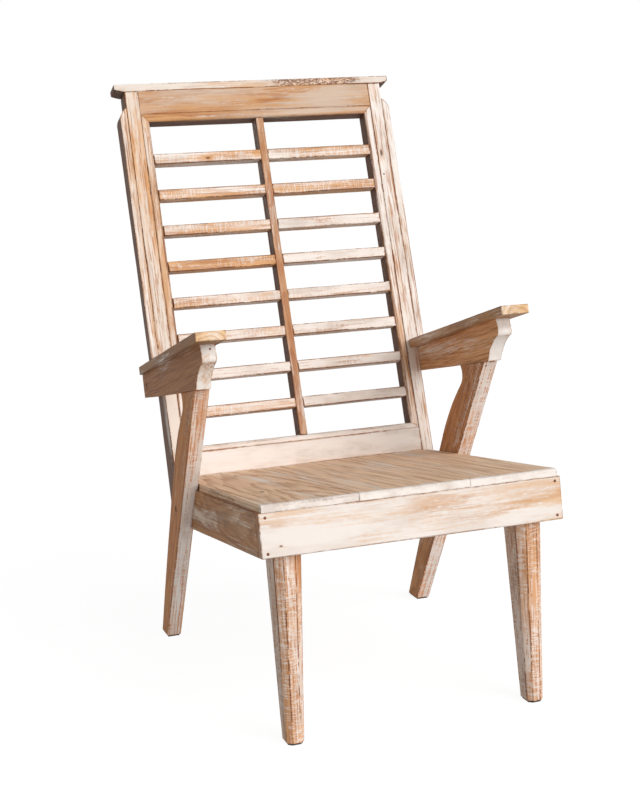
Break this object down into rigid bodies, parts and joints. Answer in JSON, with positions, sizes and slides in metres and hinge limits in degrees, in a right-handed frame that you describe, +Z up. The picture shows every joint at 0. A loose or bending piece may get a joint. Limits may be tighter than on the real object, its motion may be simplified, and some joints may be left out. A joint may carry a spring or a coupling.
{
  "type": "planters chair",
  "caption": "Low planters lounge chair of limewashed wood with a raked slatted back, sloping plank seat, flat arms on shaped rails and raking rear legs.",
  "frame": {"origin": "on the floor, at the centre of the bounding box's bottom face", "axes": "+Z up; +Y from the seat's front towards the back; +X to the viewer's right as seen from the front"},
  "size_m": [0.6236, 0.8694, 1.1409],
  "materials": {
    "limewashed_wood": "limewashed softwood, matt",
    "worn_limewash_wood": "worn limewash over tan softwood, matt",
    "bare_seat_wood": "rubbed softwood with traces of limewash, matt",
    "dull_steel": "dull dark steel",
    "black_glide": "matt black"
  },
  "bodies": {
    "root": {"bottom_rail": "worn_limewash_wood", "centre_muntin": "worn_limewash_wood", "crest_cap": "worn_limewash_wood", "front_rail": "limewashed_wood", "front_rail_nails": "dull_steel", "left_arm_board": "worn_limewash_wood", "left_arm_rail": "worn_limewash_wood", "left_arm_screw": "dull_steel", "left_back_post": "worn_limewash_wood", "left_edge_strip": "worn_limewash_wood", "left_front_glide": "black_glide", "left_front_leg": "limewashed_wood", "left_panel_stile": "worn_limewash_wood", "left_rear_glide": "black_glide", "left_rear_leg": "worn_limewash_wood", "left_side_rail": "limewashed_wood", "left_slat_1": "worn_limewash_wood", "left_slat_2": "worn_limewash_wood", "left_slat_3": "worn_limewash_wood", "left_slat_4": "worn_limewash_wood", "left_slat_5": "worn_limewash_wood", "left_slat_6": "worn_limewash_wood", "left_slat_7": "worn_limewash_wood", "left_slat_8": "worn_limewash_wood", "leg_screws": "dull_steel", "post_bolts": "dull_steel", "rear_rail": "worn_limewash_wood", "right_arm_board": "worn_limewash_wood", "right_arm_rail": "worn_limewash_wood", "right_arm_screw": "dull_steel", "right_back_post": "worn_limewash_wood", "right_edge_strip": "worn_limewash_wood", "right_front_glide": "black_glide", "right_front_leg": "limewashed_wood", "right_panel_stile": "worn_limewash_wood", "right_rear_glide": "black_glide", "right_rear_leg": "worn_limewash_wood", "right_side_rail": "limewashed_wood", "right_slat_1": "worn_limewash_wood", "right_slat_2": "worn_limewash_wood", "right_slat_3": "worn_limewash_wood", "right_slat_4": "worn_limewash_wood", "right_slat_5": "worn_limewash_wood", "right_slat_6": "worn_limewash_wood", "right_slat_7": "worn_limewash_wood", "right_slat_8": "worn_limewash_wood", "seat_board_left": "bare_seat_wood", "seat_board_middle": "bare_seat_wood", "seat_board_right": "bare_seat_wood", "top_rail": "worn_limewash_wood"}
  },
  "joints": []
}
